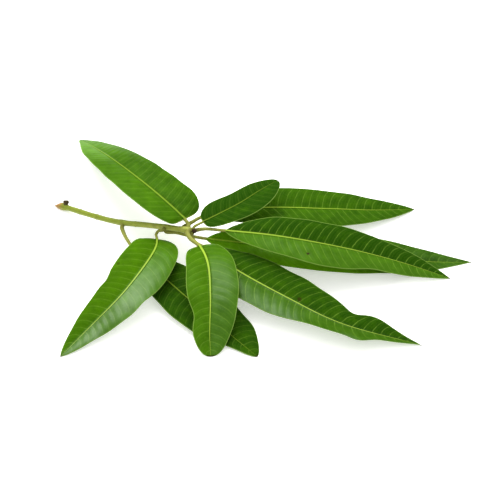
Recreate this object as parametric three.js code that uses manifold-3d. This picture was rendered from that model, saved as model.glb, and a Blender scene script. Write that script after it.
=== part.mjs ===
// A cut mango sprig lying on a level surface: a green twig with a resting bud at its end and nine leaves,
// each leaf a blade with its own petiole. Millimetres, +Z up. The sprig is laid out around its crown, the
// swollen end of the twig where most petioles start, and the finished group is then moved so that its
// origin is the middle of the footprint, on the surface.
import * as THREE from "three";
import Module from "manifold-3d";
import { mergeVertices } from "three/addons/utils/BufferGeometryUtils.js";

const wasm = await Module();
wasm.setup();

// ---- driving dimensions -------------------------------------------------------------------------

const BLADE_THICKNESS = 0.5; // the flat of a blade
const MARGIN_THICKNESS = 0.3; // its edge
const FOLD_DEG = 6; // each half of a blade rises from the midrib at this angle
const RECURVE = 0.1; // and droops again towards its margin: fall over half-width
const MIDRIB_TAPER = 0.85; // how evenly the midrib thins out towards the tip
const RIB_ABOVE = 0.25; // how far the midrib stands out above, as a share of its radius
const RIB_BELOW = 1.2; // and below
const RIB_FLANK = 0.5; // the midrib's sides run out this much wider than its radius
const RIB_SHARE_MAX = 0.3; // but over no more than this share of a half-width
const LEAST_HALF_WIDTH = 0.6; // where the base and the tip end
const PULVINUS = 1.15; // how much thicker a petiole is where it leaves the twig
const SURFACE_FILM = 0.35; // the least thickness of a blade pressed flat on the surface

const TWIG_RADIUS = 2.5;
const TWIG_AXIS = [
  [-131.5, 72.4, 2],
  [-117, 63.3, 4.2],
  [-94.5, 47.4, 8.5],
  [-68.7, 30.8, 14],
  [-40.3, 18.1, 20.5],
  [-18.1, 7.9, 25.5],
  [0.5, 0.4, 28.1],
];
const TWIG_ENDS = [0.4, 0.55]; // radius at the cut end and at the crown's end, as shares

// Swellings of the twig: the heel where it was torn off, the two nodes where the petioles of the lower
// leaves start, and the crown.
const SWELLINGS = [
  { at: 0.055, spread: 0.03, rise: 1.0 },
  { at: 0.53, spread: 0.025, rise: 0.3 },
  { at: 0.828, spread: 0.025, rise: 0.3 },
  { at: 0.97, spread: 0.035, rise: 0.8 },
];

// A broken side shoot, narrowing to a share of its radius.
const STUB = { at: 0.075, radius: 2.4, length: 6.2, narrowing: 0.85, lean: [0.2, 0.4, 1] };

// The bud's radius follows a sine of its height to a power, from part of the way up the sine.
const BUD = {
  base: [1.3, -0.8, 28.9],
  direction: [0.7, -0.5, 0.55],
  radius: 1.8,
  length: 4.6,
  start: 0.15,
  power: 0.7,
};

// Each leaf: its petiole from the twig to the blade, the midrib from there to the tip, the greatest half
// widths right and left of the midrib seen from the petiole, how full the base and the tip are (a lower
// number is blunter), how far the blade is rolled about its midrib at each end, in degrees, and ripples:
// places where one margin lifts, and where it swells (+) or draws in (-) by a share of its width.
const LEAVES = [
  {
    name: "leaf_back_left",
    petiole: [[-3.2, 6.4, 30.2], [-6.5, 10, 33.5]],
    midrib: [[-31, 37, 40], [-76, 99, 33], [-103, 145, 17], [-121, 181, 0.2]],
    radius: 1.5, right: 28, left: 25, base: 0.22, tip: 0.66, roll: [-5, -5],
    ripples: [["left", 0.92, 0.12, 0, -0.3], ["right", 0.07, 0.1, 0, 0.12]],
  },
  {
    name: "leaf_small_upper",
    petiole: [[2, 2.6, 31.2], [9.5, 6, 33.8]],
    midrib: [[41, 23, 41], [58, 38, 43], [76, 59, 40]],
    radius: 1.0, right: 17, left: 14, base: 0.32, tip: 0.5, roll: [-4, -4],
    ripples: [["right", 0.6, 0.25, 0, 0.2], ["left", 0.12, 0.2, 0, 0.3]],
  },
  {
    name: "leaf_back_right",
    petiole: [[-7.6, 8.3, 26.4], [-0.5, 13.6, 27.6], [6.5, 18.3, 29], [18, 22, 30]],
    midrib: [[61, 36, 26], [125, 50, 14], [165, 57, 7], [205, 67, 0.2]],
    radius: 1.4, right: 24, left: 25, base: 0.55, tip: 0.8, roll: [-8, -6],
    ripples: [["right", 0.66, 0.1, 0, 0.08]],
  },
  {
    name: "leaf_right_upper",
    petiole: [[2.6, 2, 27.5], [10, 1, 30], [29, -5, 33]],
    midrib: [[74, -16, 36], [138, -21, 25], [185, -23, 11], [226, -31, 0.2]],
    radius: 1.3, right: 23, left: 23, base: 0.75, tip: 0.9, roll: [-15, -8],
    ripples: [
      ["right", 0.66, 0.08, 0, -0.15],
      ["right", 0.44, 0.1, 0, 0.1],
      ["left", 0.15, 0.12, 0, 0.12],
    ],
  },
  {
    name: "leaf_right_lower",
    petiole: [[-23.8, 10.2, 19.7], [-14.9, 9.6, 19], [-5.9, 7.3, 18], [12, 1, 19]],
    midrib: [[44, -5, 19], [148, -10, 8], [215, -9.5, 0.6], [248, -9, 0]],
    radius: 1.3, right: 24, left: 29, base: 0.72, tip: 0.98, roll: [-8, -4],
    ripples: [["left", 0.35, 0.2, 0, -0.3]],
  },
  {
    name: "leaf_front_right",
    petiole: [[-0.4, -2.5, 25.4], [3, -8, 22.5], [18, -17, 20]],
    midrib: [[36, -39, 20], [82, -71, 14], [126, -96, 8], [192, -114, 0.2]],
    radius: 1.3, right: 25, left: 26, base: 0.55, tip: 1.0, roll: [-8, -2],
    ripples: [
      ["right", 0.7, 0.2, 7, 0],
      ["right", 0.55, 0.1, 0, -0.16],
      ["right", 0.76, 0.05, 0, 0.25],
      ["left", 0.7, 0.05, -1, -0.18],
      ["left", 0.82, 0.08, 2, 0.25],
    ],
  },
  {
    name: "leaf_front_middle",
    petiole: [[-3.8, -2.9, 28.4], [-1, -10, 28], [7, -21, 29]],
    midrib: [[15, -45, 30], [18, -78, 22], [18, -109, 8.5], [19, -127, 0.2]],
    radius: 1.6, right: 20, left: 24, base: 0.3, tip: 0.44, roll: [4, 0],
    ripples: [["right", 0.69, 0.1, 0, -0.24]],
  },
  {
    name: "leaf_front_lower",
    petiole: [[-64.6, 24, 13.7], [-62.3, 16.5, 12.2], [-54.5, 0.5, 11.2], [-43, -14, 9]],
    midrib: [[-20, -43, 8], [16, -83, 4], [35, -104, 2.2], [57, -127, 0.2]],
    radius: 1.3, right: 24, left: 27, base: 0.6, tip: 0.66, roll: [-4, 0],
    ripples: [["right", 0.9, 0.15, 0, -0.35], ["left", 0.86, 0.1, 0, 0.12]],
  },
  {
    name: "leaf_front_left",
    petiole: [[-26, 6, 24.8], [-30, 6.6, 23.2], [-32.1, 3.6, 22], [-31, -3, 22]],
    midrib: [[-32, -19, 23], [-55, -67, 17], [-81, -99, 7], [-103, -127, 0.2]],
    radius: 1.2, right: 23, left: 24, base: 0.3, tip: 0.75, roll: [12, 6],
    ripples: [["right", 0.46, 0.06, 0, -0.1], ["left", 0.48, 0.06, 0, -0.08]],
  },
];

// How finely the solids are cut.
const PETIOLE_STATIONS = 5;
const BLADE_STATIONS = 22;
const HALF_COLUMNS = [0.38, 0.7, 1]; // across half a blade, outside the midrib
const TWIG_STATIONS = 36;
const TWIG_SIDES = 14;
const STUB_SIDES = 10;
const BUD_SIDES = 12;
const BUD_STEPS = 8;
const CURVE_PIECES = 60; // samples between two points of a leaf's curve, to measure the petiole's length
const TIP_MARGIN = 0.001; // the first and last rings of a blade stay this share of its length inside it

// ---- materials ----------------------------------------------------------------------------------

const leafMaterial = new THREE.MeshStandardMaterial({ color: 0x4c7d14, roughness: 0.42, metalness: 0 });
const darkLeafMaterial = new THREE.MeshStandardMaterial({ color: 0x335f0a, roughness: 0.42, metalness: 0 });
const twigMaterial = new THREE.MeshStandardMaterial({ color: 0x8c9b32, roughness: 0.55, metalness: 0 });
const budMaterial = new THREE.MeshStandardMaterial({ color: 0x3c2c14, roughness: 0.7, metalness: 0 });

// ---- geometry helpers ---------------------------------------------------------------------------

const UP = new THREE.Vector3(0, 0, 1);

function smoothCurve(points) {
  const corners = points.map((p) => new THREE.Vector3(...p));
  const curve = new THREE.CatmullRomCurve3(corners, false, "centripetal");
  curve.arcLengthDivisions = 400;
  return curve;
}

// The point, the direction, and the two crossing directions of a curve at a fraction of its length.
function frameAt(curve, u) {
  const middle = curve.getPointAt(u);
  const along = curve.getTangentAt(u);
  const across = new THREE.Vector3().crossVectors(along, UP).normalize();
  const out = new THREE.Vector3().crossVectors(across, along);
  return { middle, along, across, out };
}

// A closed solid from rings of equal point counts. Each ring runs over the top from left to right and
// back underneath, seen along the rings' own direction.
function loft(rings) {
  const count = rings[0].length;
  const positions = rings.flat().flatMap((p) => [p.x, p.y, p.z]);
  const faces = [];
  for (let i = 0; i < rings.length - 1; i += 1) {
    for (let j = 0; j < count; j += 1) {
      const k = (j + 1) % count;
      const a = i * count + j;
      const b = i * count + k;
      faces.push(a, b, a + count, b, b + count, a + count);
    }
  }
  const caps = [rings[0], rings[rings.length - 1]];
  caps.forEach((ring, end) => {
    const centre = positions.length / 3;
    const mean = ring.reduce((sum, p) => sum.add(p), new THREE.Vector3()).divideScalar(count);
    positions.push(mean.x, mean.y, mean.z);
    const first = end * (rings.length - 1) * count;
    for (let j = 0; j < count; j += 1) {
      const k = (j + 1) % count;
      if (end) faces.push(centre, first + j, first + k);
      else faces.push(centre, first + k, first + j);
    }
  });
  const geometry = new THREE.BufferGeometry();
  geometry.setAttribute("position", new THREE.Float32BufferAttribute(positions, 3));
  geometry.setIndex(faces);
  geometry.computeVertexNormals();
  return geometry;
}

function roundRing(frame, radius, sides) {
  const ring = [];
  for (let j = 0; j < sides; j += 1) {
    const angle = Math.PI - ((j + 0.5) * 2 * Math.PI) / sides;
    ring.push(
      frame.middle.clone()
        .addScaledVector(frame.across, radius * Math.cos(angle))
        .addScaledVector(frame.out, radius * Math.sin(angle)),
    );
  }
  return ring;
}

function solidFrom(geometry) {
  const plain = geometry.clone();
  plain.deleteAttribute("normal");
  plain.deleteAttribute("uv");
  const merged = mergeVertices(plain, 1e-4);
  return new wasm.Manifold(
    new wasm.Mesh({
      numProp: 3,
      vertProperties: merged.attributes.position.array,
      triVerts: new Uint32Array(merged.index.array),
    }),
  );
}

function geometryFrom(solid) {
  const mesh = solid.getMesh();
  const geometry = new THREE.BufferGeometry();
  geometry.setAttribute("position", new THREE.BufferAttribute(new Float32Array(mesh.vertProperties), 3));
  geometry.setIndex(new THREE.BufferAttribute(new Uint32Array(mesh.triVerts), 1));
  geometry.computeVertexNormals();
  return geometry;
}

const bell = (t, centre, spread) => Math.exp(-(((t - centre) / spread) ** 2));

// ---- a leaf -------------------------------------------------------------------------------------

// The half-width of a blade as a share of its greatest, at a fraction t of its length: it grows with
// t to the power base, falls with (1 - t) to the power tip, and is 1 where the two balance.
function outline(leaf, t) {
  const widest = leaf.base / (leaf.base + leaf.tip);
  return (t / widest) ** leaf.base * ((1 - t) / (1 - widest)) ** leaf.tip;
}

// One ring of a blade: over the top surface from the left margin to the right, and back underneath.
function bladeRing(leaf, frame, t) {
  const roll = THREE.MathUtils.degToRad(THREE.MathUtils.lerp(...leaf.roll, t));
  const across = frame.across.clone().applyAxisAngle(frame.along, -roll);
  const out = frame.out.clone().applyAxisAngle(frame.along, -roll);
  const fold = THREE.MathUtils.degToRad(FOLD_DEG);
  const rib = leaf.radius * (1 - t) ** MIDRIB_TAPER;

  const point = (x, height) => {
    const side = x > 0 ? "right" : "left";
    const reach = Math.abs(x);
    let halfWidth = leaf[side] * outline(leaf, t);
    let lift = 0;
    for (const [where, at, spread, raised, widened] of leaf.ripples) {
      if (where !== side) continue;
      halfWidth *= 1 + widened * bell(t, at, spread);
      lift += raised * bell(t, at, spread) * reach ** 2;
    }
    halfWidth = Math.max(halfWidth, LEAST_HALF_WIDTH);
    const sideways = Math.sign(x) * reach * halfWidth * Math.cos(fold);
    const rise = halfWidth * (reach * Math.sin(fold) - RECURVE * reach ** 2) + lift;
    return frame.middle.clone().addScaledVector(across, sideways).addScaledVector(out, rise + height);
  };

  const narrowest = Math.max(Math.min(leaf.right, leaf.left) * outline(leaf, t), LEAST_HALF_WIDTH);
  const ribEdge = Math.min((rib + RIB_FLANK) / narrowest, RIB_SHARE_MAX);
  const half = [ribEdge, ...HALF_COLUMNS];
  const columns = [...half.map((x) => -x).reverse(), 0, ...half];
  const top = [];
  const bottom = [];
  for (const x of columns) {
    const edge = Math.abs(x) === 1 ? MARGIN_THICKNESS : BLADE_THICKNESS;
    const above = point(x, edge / 2 + (x === 0 ? RIB_ABOVE * rib : 0));
    const below = point(x, -edge / 2 - (x === 0 ? RIB_BELOW * rib : 0));
    below.z = Math.max(below.z, 0);
    above.z = Math.max(above.z, below.z + (below.z === 0 ? SURFACE_FILM : 0));
    top.push(above);
    bottom.unshift(below);
  }
  return [...top, ...bottom];
}

function leafGeometry(leaf) {
  const points = [...leaf.petiole, ...leaf.midrib];
  const curve = smoothCurve(points);
  const lengths = curve.getLengths(CURVE_PIECES * (points.length - 1));
  const bladeStart = lengths[CURVE_PIECES * (leaf.petiole.length - 1)] / lengths[lengths.length - 1];
  const sides = 2 * (2 * (HALF_COLUMNS.length + 1) + 1);
  const rings = [];
  for (let i = 0; i < PETIOLE_STATIONS; i += 1) {
    const along = i / PETIOLE_STATIONS;
    const swelling = 1 + (PULVINUS - 1) * (1 - along) ** 2;
    rings.push(roundRing(frameAt(curve, bladeStart * along), leaf.radius * swelling, sides));
  }
  // The blade's rings are closest at its base and tip, as equal steps round a half circle are.
  for (let i = 0; i <= BLADE_STATIONS; i += 1) {
    const turn = (Math.PI * (i + 0.35)) / (BLADE_STATIONS + 0.7);
    const t = THREE.MathUtils.clamp((1 - Math.cos(turn)) / 2, TIP_MARGIN, 1 - TIP_MARGIN);
    rings.push(bladeRing(leaf, frameAt(curve, bladeStart + (1 - bladeStart) * t), t));
  }
  return loft(rings);
}

// ---- the twig -----------------------------------------------------------------------------------

function twigGeometry() {
  const curve = smoothCurve(TWIG_AXIS);
  const rings = [];
  for (let i = 0; i <= TWIG_STATIONS; i += 1) {
    const u = i / TWIG_STATIONS;
    let radius = TWIG_RADIUS;
    for (const swelling of SWELLINGS) radius += swelling.rise * bell(u, swelling.at, swelling.spread);
    if (i === 0) radius *= TWIG_ENDS[0];
    if (i === TWIG_STATIONS) radius *= TWIG_ENDS[1];
    const ring = roundRing(frameAt(curve, u), radius, TWIG_SIDES);
    for (const p of ring) p.z = Math.max(p.z, 0);
    rings.push(ring);
  }
  const stem = solidFrom(loft(rings));

  const foot = curve.getPointAt(STUB.at);
  const top = STUB.radius * STUB.narrowing;
  const stub = new THREE.CylinderGeometry(top, STUB.radius, STUB.length, STUB_SIDES);
  stub.translate(0, STUB.length / 2, 0);
  const lean = new THREE.Vector3(...STUB.lean).normalize();
  stub.applyQuaternion(new THREE.Quaternion().setFromUnitVectors(new THREE.Vector3(0, 1, 0), lean));
  stub.translate(foot.x, foot.y, foot.z);
  return geometryFrom(stem.add(solidFrom(stub)));
}

// ---- the resting bud ----------------------------------------------------------------------------

function budMesh() {
  const profile = [new THREE.Vector2(0, 0)];
  for (let i = 0; i < BUD_STEPS; i += 1) {
    const level = i / BUD_STEPS;
    const t = BUD.start + (1 - BUD.start) * level;
    const radius = BUD.radius * Math.sin(Math.PI * t ** BUD.power);
    profile.push(new THREE.Vector2(radius, BUD.length * level));
  }
  profile.push(new THREE.Vector2(0, BUD.length));
  const mesh = new THREE.Mesh(new THREE.LatheGeometry(profile, BUD_SIDES), budMaterial);
  mesh.name = "terminal_bud";
  const direction = new THREE.Vector3(...BUD.direction).normalize();
  mesh.quaternion.setFromUnitVectors(new THREE.Vector3(0, 1, 0), direction);
  mesh.position.set(...BUD.base);
  return mesh;
}

// ---- the sprig ----------------------------------------------------------------------------------

const laidOut = new THREE.Group();

const twig = new THREE.Mesh(twigGeometry(), twigMaterial);
twig.name = "twig";
laidOut.add(twig, budMesh());

for (const leaf of LEAVES) {
  const shaded = leaf.name === "leaf_small_upper" || leaf.name === "leaf_front_lower";
  const mesh = new THREE.Mesh(leafGeometry(leaf), (shaded ? darkLeafMaterial : leafMaterial).clone());
  mesh.name = leaf.name;
  laidOut.add(mesh);
}

const footprint = new THREE.Box3().setFromObject(laidOut, true);
const middle = footprint.getCenter(new THREE.Vector3());
laidOut.position.set(-middle.x, -middle.y, -footprint.min.z);

const sprig = new THREE.Group();
sprig.add(laidOut);

export default sprig;
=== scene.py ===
"""A cut mango sprig: nine glossy leaves on their petioles, a green twig and its resting bud.

Each leaf is one closed skin carried along its own midrib, with a raised midrib, puckered panels between
the side veins and a thin pale edge. Lengths in the tables are millimetres measured from the crown, the
swollen end of the twig; the meshes are in metres in the model's own frame.
"""

import math

import bpy
import numpy as np
from bpy.props import FloatProperty, FloatVectorProperty, PointerProperty
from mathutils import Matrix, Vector


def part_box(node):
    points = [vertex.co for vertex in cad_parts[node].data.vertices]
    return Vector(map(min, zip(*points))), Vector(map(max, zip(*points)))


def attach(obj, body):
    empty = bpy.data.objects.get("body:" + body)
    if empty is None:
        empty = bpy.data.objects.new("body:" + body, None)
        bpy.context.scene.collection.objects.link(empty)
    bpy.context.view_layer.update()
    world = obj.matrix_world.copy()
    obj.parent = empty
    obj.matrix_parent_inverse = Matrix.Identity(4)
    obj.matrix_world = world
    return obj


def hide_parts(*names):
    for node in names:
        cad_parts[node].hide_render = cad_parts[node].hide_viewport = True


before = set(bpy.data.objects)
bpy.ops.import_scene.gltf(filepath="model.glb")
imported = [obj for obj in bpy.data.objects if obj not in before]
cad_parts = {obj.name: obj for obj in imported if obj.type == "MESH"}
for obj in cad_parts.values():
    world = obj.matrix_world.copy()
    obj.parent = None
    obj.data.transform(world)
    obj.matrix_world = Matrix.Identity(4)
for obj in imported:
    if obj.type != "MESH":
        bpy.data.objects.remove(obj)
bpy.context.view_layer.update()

bl_info = {
    "name": "Mango sprig",
    "version": (1, 0, 0),
    "blender": (4, 5, 0),
    "location": "3D View > Sidebar > Sprig",
    "description": "Builds a cut mango sprig and a plain studio stage for it",
    "category": "Add Mesh",
}

BODY = "root"
MM = 0.001

# ---- the sprig's measures, in millimetres from the crown -------------------------------------------

TWIG_AXIS = [
    [-131.5, 72.4, 2],
    [-117, 63.3, 4.2],
    [-94.5, 47.4, 8.5],
    [-68.7, 30.8, 14],
    [-40.3, 18.1, 20.5],
    [-18.1, 7.9, 25.5],
    [0.5, 0.4, 28.1],
]
HEEL = 0.055  # the middle of the swelling where the twig was torn off, as a share of its length
TWIG_NODES = [0.53, 0.828]  # where the petioles of the lower leaves start
CROWN_SWELLING = 0.97  # the middle of the swelling at the crown
SCARS = [0.2, 0.335, 0.62]  # old leaf scars
TORN_LENGTH = 12.0  # how much of the twig takes part in its torn end
STUB = {"at": 0.075, "radius": 2.4, "length": 6.2, "lean": [0.2, 0.4, 1]}
BUD = {"base": [1.3, -0.8, 28.9], "direction": [0.7, -0.5, 0.55], "radius": 1.8, "length": 4.6}

# Each leaf: petiole from the twig to the blade, midrib from there to the tip, midrib radius, greatest half
# widths, power of the outline at base and tip (a smaller one is blunter), and roll about the midrib at each
# end in degrees. Ripples are places on a margin: side, share of the length, spread, how far the margin
# lifts, and how much it swells (+) or draws in (-). Tone is how bright the green is on the right and on the
# left, and it is painted light and shade: a half or leaf that stands in light is painted brighter and one in
# shade darker, and leaf_right_lower is painted bright over its base, which lies in the shadow of
# leaf_right_upper. Fade is how much darker the green gets towards the tip (lighter below 0), and on
# leaf_right_lower it takes that painted light back towards the tip. Shine is how much wax each of the two
# sides wears, rib how bright the midrib is, veins how clear the side veins are, and wavy how much the margin
# waves. Marks are old blemishes: distance along the blade and across it, radius, and darkness.
LEAVES = [
    {
        "name": "leaf_back_left",
        "petiole": [[-3.2, 6.4, 30.2], [-6.5, 10, 33.5]],
        "midrib": [[-31, 37, 40], [-76, 99, 33], [-103, 145, 17], [-121, 181, 0.2]],
        "radius": 1.5, "right": 28, "left": 25, "base": 0.22, "tip": 0.66, "roll": [-5, -5],
        "ripples": [["left", 0.92, 0.12, 0, -0.3], ["right", 0.07, 0.1, 0, 0.12]],
        "tone_and_painted_light": [0.42, 0.6], "fade": -0.55, "shine": [0.12, 0.1],
        "rib": 0.45, "veins": 0.28, "wavy": 0.5, "marks": [],
    },
    {
        "name": "leaf_small_upper",
        "petiole": [[2, 2.6, 31.2], [9.5, 6, 33.8]],
        "midrib": [[41, 23, 41], [58, 38, 43], [76, 59, 40]],
        "radius": 1.0, "right": 17, "left": 14, "base": 0.32, "tip": 0.5, "roll": [-4, -4],
        "ripples": [["right", 0.6, 0.25, 0, 0.2], ["left", 0.12, 0.2, 0, 0.3]],
        "tone_and_painted_light": [0.0, -0.1], "fade": 0.0, "shine": [0.0, 0.0],
        "rib": 0.35, "veins": 0.08, "wavy": 0.6, "marks": [],
    },
    {
        "name": "leaf_back_right",
        "petiole": [[-7.6, 8.3, 26.4], [-0.5, 13.6, 27.6], [6.5, 18.3, 29], [18, 22, 30]],
        "midrib": [[61, 36, 26], [125, 50, 14], [165, 57, 7], [205, 67, 0.2]],
        "radius": 1.4, "right": 24, "left": 25, "base": 0.55, "tip": 0.8, "roll": [-8, -6],
        "ripples": [["right", 0.66, 0.1, 0, 0.08]],
        "tone_and_painted_light": [0.4, 0.35], "fade": 0.1, "shine": [0.05, 0.02],
        "rib": 0.7, "veins": 0.6, "wavy": 0.8, "marks": [],
    },
    {
        "name": "leaf_right_upper",
        "petiole": [[2.6, 2, 27.5], [10, 1, 30], [29, -5, 33]],
        "midrib": [[74, -16, 36], [138, -21, 25], [185, -23, 11], [226, -31, 0.2]],
        "radius": 1.3, "right": 23, "left": 23, "base": 0.75, "tip": 0.9, "roll": [-15, -8],
        "ripples": [
            ["right", 0.66, 0.08, 0, -0.15],
            ["right", 0.44, 0.1, 0, 0.1],
            ["left", 0.15, 0.12, 0, 0.12],
        ],
        "tone_and_painted_light": [0.75, 0.0], "fade": 0.1, "shine": [0.3, 0.0],
        "rib": 0.8, "veins": 0.8, "wavy": 0.7, "marks": [[75, 15, 1.3, 1.0]],
    },
    {
        "name": "leaf_right_lower",
        "petiole": [[-23.8, 10.2, 19.7], [-14.9, 9.6, 19], [-5.9, 7.3, 18], [12, 1, 19]],
        "midrib": [[44, -5, 19], [148, -10, 8], [215, -9.5, 0.6], [248, -9, 0]],
        "radius": 1.3, "right": 24, "left": 29, "base": 0.72, "tip": 0.98, "roll": [-8, -4],
        "ripples": [["left", 0.35, 0.2, 0, -0.3]],
        # painted light: a bright tone over the base that lies in the shadow of leaf_right_upper, taken back
        # by the fade towards the tip
        "tone_and_painted_light": [1.7, 1.6], "fade": 1.3, "shine": [0.4, 0.4],
        "rib": 0.7, "veins": 0.5, "wavy": 0.6, "marks": [],
    },
    {
        "name": "leaf_front_right",
        "petiole": [[-0.4, -2.5, 25.4], [3, -8, 22.5], [18, -17, 20]],
        "midrib": [[36, -39, 20], [82, -71, 14], [126, -96, 8], [192, -114, 0.2]],
        "radius": 1.3, "right": 25, "left": 26, "base": 0.55, "tip": 1.0, "roll": [-8, -2],
        "ripples": [
            ["right", 0.7, 0.2, 7, 0],
            ["right", 0.55, 0.1, 0, -0.16],
            ["right", 0.76, 0.05, 0, 0.25],
            ["left", 0.7, 0.05, -1, -0.18],
            ["left", 0.82, 0.08, 2, 0.25],
        ],
        "tone_and_painted_light": [0.6, 0.12], "fade": 0.1, "shine": [0.6, 0.0],
        "rib": 0.9, "veins": 0.75, "wavy": 1.5, "marks": [[95, -3.8, 1.9, 0.7]],
    },
    {
        "name": "leaf_front_middle",
        "petiole": [[-3.8, -2.9, 28.4], [-1, -10, 28], [7, -21, 29]],
        "midrib": [[15, -45, 30], [18, -78, 22], [18, -109, 8.5], [19, -127, 0.2]],
        "radius": 1.6, "right": 20, "left": 24, "base": 0.3, "tip": 0.44, "roll": [4, 0],
        "ripples": [["right", 0.69, 0.1, 0, -0.24]],
        "tone_and_painted_light": [0.8, 0.75], "fade": 0.1, "shine": [0.05, 0.42],
        "rib": 1.0, "veins": 0.5, "wavy": 1.0, "marks": [[76, 19, 1.4, 0.4]],
    },
    {
        "name": "leaf_front_lower",
        "petiole": [[-64.6, 24, 13.7], [-62.3, 16.5, 12.2], [-54.5, 0.5, 11.2], [-43, -14, 9]],
        "midrib": [[-20, -43, 8], [16, -83, 4], [35, -104, 2.2], [57, -127, 0.2]],
        "radius": 1.3, "right": 24, "left": 27, "base": 0.6, "tip": 0.66, "roll": [-4, 0],
        "ripples": [["right", 0.9, 0.15, 0, -0.35], ["left", 0.86, 0.1, 0, 0.12]],
        "tone_and_painted_light": [0.05, 0.1], "fade": 0.0, "shine": [0.0, 0.0],
        "rib": 0.5, "veins": 0.4, "wavy": 0.8, "marks": [],
    },
    {
        "name": "leaf_front_left",
        "petiole": [[-26, 6, 24.8], [-30, 6.6, 23.2], [-32.1, 3.6, 22], [-31, -3, 22]],
        "midrib": [[-32, -19, 23], [-55, -67, 17], [-81, -99, 7], [-103, -127, 0.2]],
        "radius": 1.2, "right": 23, "left": 24, "base": 0.3, "tip": 0.75, "roll": [12, 6],
        "ripples": [["right", 0.46, 0.06, 0, -0.1], ["left", 0.48, 0.06, 0, -0.08]],
        "tone_and_painted_light": [0.8, 1.0], "fade": 0.2, "shine": [0.0, 0.9],
        "rib": 1.0, "veins": 0.5, "wavy": 1.6, "marks": [[48, 20, 1.6, 0.45], [70, 19, 1.2, 0.4]],
    },
]


def paint(code):
    """A colour as light amounts, from a six-figure paint code."""
    parts = [int(code[i:i + 2], 16) / 255 for i in (0, 2, 4)]
    return [p / 12.92 if p <= 0.04045 else ((p + 0.055) / 1.055) ** 2.4 for p in parts]


def colour(name, description, code):
    return FloatVectorProperty(name=name, description=description, subtype="COLOR", size=3, min=0, max=1,
                               default=paint(code))


def length(name, description, metres, low=0.0, high=1.0):
    return FloatProperty(name=name, description=description, unit="LENGTH", precision=5, default=metres,
                         min=low, max=high)


def share(name, description, value, low=0.0, high=1.0):
    return FloatProperty(name=name, description=description, subtype="FACTOR", default=value,
                         min=low, max=high)


# ---- settings ----------------------------------------------------------------------------------------

class LeafSettings(bpy.types.PropertyGroup):
    thickness: length("Thickness", "Flat of a blade", 0.5 * MM)
    edge: length("Edge", "Thickness of a blade at its margin", 0.3 * MM)
    fold: FloatProperty(name="Fold", description="Rise of each half from the midrib", subtype="ANGLE",
                        default=math.radians(14), min=0, max=0.6)
    recurve: share("Recurve", "Fall of a margin over the half width", 0.19)
    vein_gap: length("Vein gap", "Distance between side veins along the midrib", 7.8 * MM, 2 * MM)
    pucker: length("Pucker", "Rise of the panels between side veins", 0.16 * MM)
    ripple: length("Ripple", "Height of the slow waves along a margin", 0.22 * MM)
    deep: colour("Deep green", "Shaded, older leaf", "1C4001")
    fresh: colour("Fresh green", "Bright leaf", "426E02")
    # painted light: the brightest green, reached where the tone goes above 1, mostly on the shaded base of
    # leaf_right_lower
    lit_green: colour("Lit green", "Brightest leaf", "5C9604")
    vein: colour("Vein", "Side veins", "7EA23A")
    midrib: colour("Midrib", "Midrib from above", "93B038")
    margin: colour("Margin", "Thin line along the edge", "8EAC50")
    underside: colour("Underside", "Back of a blade", "4C6A22")
    petiole: colour("Petiole", "Leaf stalk", "8A8E44")
    brown: colour("Dry brown", "Blemishes and dried tips", "2E200A")
    roughness: share("Roughness", "Roughness of a blade under its wax", 0.6)
    wax: share("Wax roughness", "Roughness of the coat of wax", 0.32)


class TwigSettings(bpy.types.PropertyGroup):
    radius: length("Radius", "Half the thickness of the twig", 2.5 * MM)
    node_swelling: length("Node swelling", "Extra radius where a petiole leaves", 0.3 * MM)
    heel_swelling: length("Heel swelling", "Extra radius at the torn end", 1.0 * MM)
    crown_swelling: length("Crown swelling", "Extra radius at the crown", 0.8 * MM)
    bark: colour("Bark", "Green bark", "7E8C22")
    # painted light: the bark is painted paler towards the crown to lift the shade there
    lit_bark: colour("Lit bark", "Paler bark towards the crown", "AAB04A")
    streak: colour("Streak", "Fine lengthwise streaks", "6A781A")
    brown: colour("Brown", "Corky patches at the nodes and the crown", "40300E")
    cut: colour("Cut wood", "Pale wood of the torn end", "A07838")
    torn: colour("Torn bark", "Dried bark of the torn end", "482A0C")


class BudSettings(bpy.types.PropertyGroup):
    scale_rise: share("Scale rise", "How far each scale stands out, as a share of the radius", 0.16)
    dark: colour("Dark scale", "Body of the scales", "241A0C")
    light: colour("Scale edge", "Dry edges of the scales", "5A4424")


class StageSettings(bpy.types.PropertyGroup):
    floor: colour("Floor", "Pale table", "F4F4F2")
    key: FloatProperty(name="Key light", description="Power of the high back light", unit="POWER",
                       default=35.0, min=0)
    sheen: FloatProperty(name="Sheen light", description="Power of the wide panel that the leaves mirror",
                         unit="POWER", default=8.0, min=0)
    sky: FloatProperty(name="Surroundings", description="Strength of the pale surroundings",
                       default=1.1, min=0)
    glow: FloatProperty(name="Floor glow", description="Light given by the table itself",
                        default=0.45, min=0)


class SprigSettings(bpy.types.PropertyGroup):
    leaf: PointerProperty(type=LeafSettings)
    twig: PointerProperty(type=TwigSettings)
    bud: PointerProperty(type=BudSettings)
    stage: PointerProperty(type=StageSettings)


# ---- curves and skins --------------------------------------------------------------------------------

SPAN = 160  # samples between two points of a curve


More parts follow.
